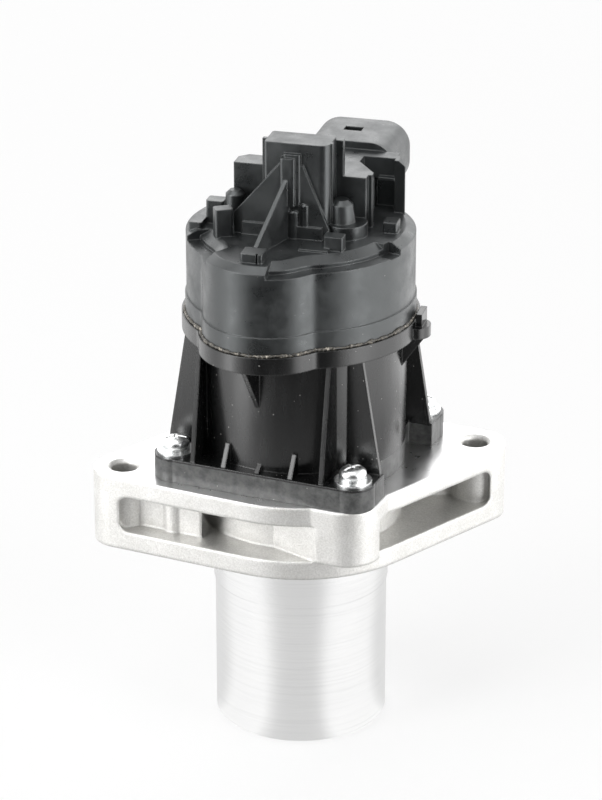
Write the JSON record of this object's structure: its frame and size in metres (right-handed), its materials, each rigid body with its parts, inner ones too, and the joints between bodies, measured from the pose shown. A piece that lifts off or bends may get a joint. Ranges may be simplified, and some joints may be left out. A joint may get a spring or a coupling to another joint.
{
  "type": "exhaust gas recirculation valve",
  "caption": "Motor-driven poppet valve: aluminium flange with a round spigot, square-footed black motor case, lobed cover with ribbed sensor tower and plug socket.",
  "frame": {"origin": "on the valve axis at the underside of the mounting flange, where the spigot starts", "axes": "+Z along the valve axis, from the spigot towards the motor cover; +X along the front side of the square motor foot; +Y towards the side of the plug socket"},
  "size_m": [0.0946, 0.0773, 0.1622],
  "materials": {
    "cast_aluminium": "cast, with machined faces",
    "turned_aluminium": "turned bright",
    "seat_steel": "turned",
    "valve_steel": "turned, heat tinted",
    "bush_bronze": "sintered",
    "seal_graphite": "pressed graphite",
    "spring_steel": "drawn wire",
    "case_plastic": "glass-filled, slightly glossy black",
    "cover_plastic": "semi-matte dark grey",
    "seal_rubber": "moulded",
    "zinc_steel": "bright zinc plated",
    "sealant": "cured bead",
    "yoke_steel": "drawn",
    "magnet_ferrite": "ground ferrite",
    "core_steel": "stacked sheet",
    "winding_copper": "enamelled copper",
    "sleeve_steel": "ground",
    "commutator_copper": "turned copper",
    "bearing_steel": "ground",
    "rod_steel": "rolled",
    "guide_plastic": "moulded, low friction",
    "holder_plastic": "moulded",
    "carbon": "pressed carbon",
    "blade_tin": "tin plated",
    "plunger_plastic": "moulded",
    "board_green": "solder resist",
    "chip_black": "moulded"
  },
  "bodies": {
    "housing": {"valve_housing": "cast_aluminium", "spigot_tube": "turned_aluminium", "valve_seat": "seat_steel", "stem_bush": "bush_bronze", "stem_seal": "seal_graphite", "motor_case": "case_plastic", "case_seal": "seal_rubber", "case_screws": "zinc_steel", "spring_washers": "zinc_steel", "flat_washers": "zinc_steel", "seam_bead": "sealant", "yoke_ring": "yoke_steel", "field_magnets": "magnet_ferrite", "lower_bearing": "bearing_steel", "upper_bearing": "bearing_steel", "rod_guide": "guide_plastic", "brush_holder": "holder_plastic", "carbon_brushes": "carbon", "brush_springs": "spring_steel", "motor_cover": "cover_plastic", "connector_blades": "blade_tin", "sensor_board": "board_green", "sensor_chip": "chip_black", "return_spring": "spring_steel", "sensor_spring": "spring_steel"},
    "rotor": {"rotor_core": "core_steel", "rotor_windings": "winding_copper", "rotor_sleeve": "sleeve_steel", "commutator": "commutator_copper"},
    "rod": {"screw_rod": "rod_steel"},
    "valve": {"valve_head": "valve_steel", "valve_stem": "valve_steel", "spring_retainer": "zinc_steel"},
    "plunger": {"sensor_plunger": "plunger_plastic", "sensor_magnet": "magnet_ferrite"}
  },
  "joints": [
    {"name": "rotor_spin", "type": "hinge", "parent": "housing", "child": "rotor", "pos_m": [0, 0, 0.048], "axis": [0, 0, 1], "range_deg": [0, 1080]},
    {"name": "rod_slide", "type": "slide", "parent": "housing", "child": "rod", "axis": [0, 0, -1], "range_m": [0, 0.0075]},
    {"name": "valve_slide", "type": "slide", "parent": "housing", "child": "valve", "axis": [0, 0, -1], "range_m": [0, 0.0075], "stiffness_N_per_m": 20, "springref_m": -0.01, "deforming": ["return_spring"]},
    {"name": "sensor_slide", "type": "slide", "parent": "housing", "child": "plunger", "axis": [0, 0, -1], "range_m": [0, 0.0075], "stiffness_N_per_m": 5, "springref_m": 0.02, "deforming": ["sensor_spring"]}
  ],
  "couplings": [
    {"joint": "rod_slide", "follows": "rotor_spin", "m_per_rad": 0.00039785},
    {"joint": "valve_slide", "follows": "rotor_spin", "m_per_rad": 0.00039785},
    {"joint": "sensor_slide", "follows": "rotor_spin", "m_per_rad": 0.00039785}
  ]
}
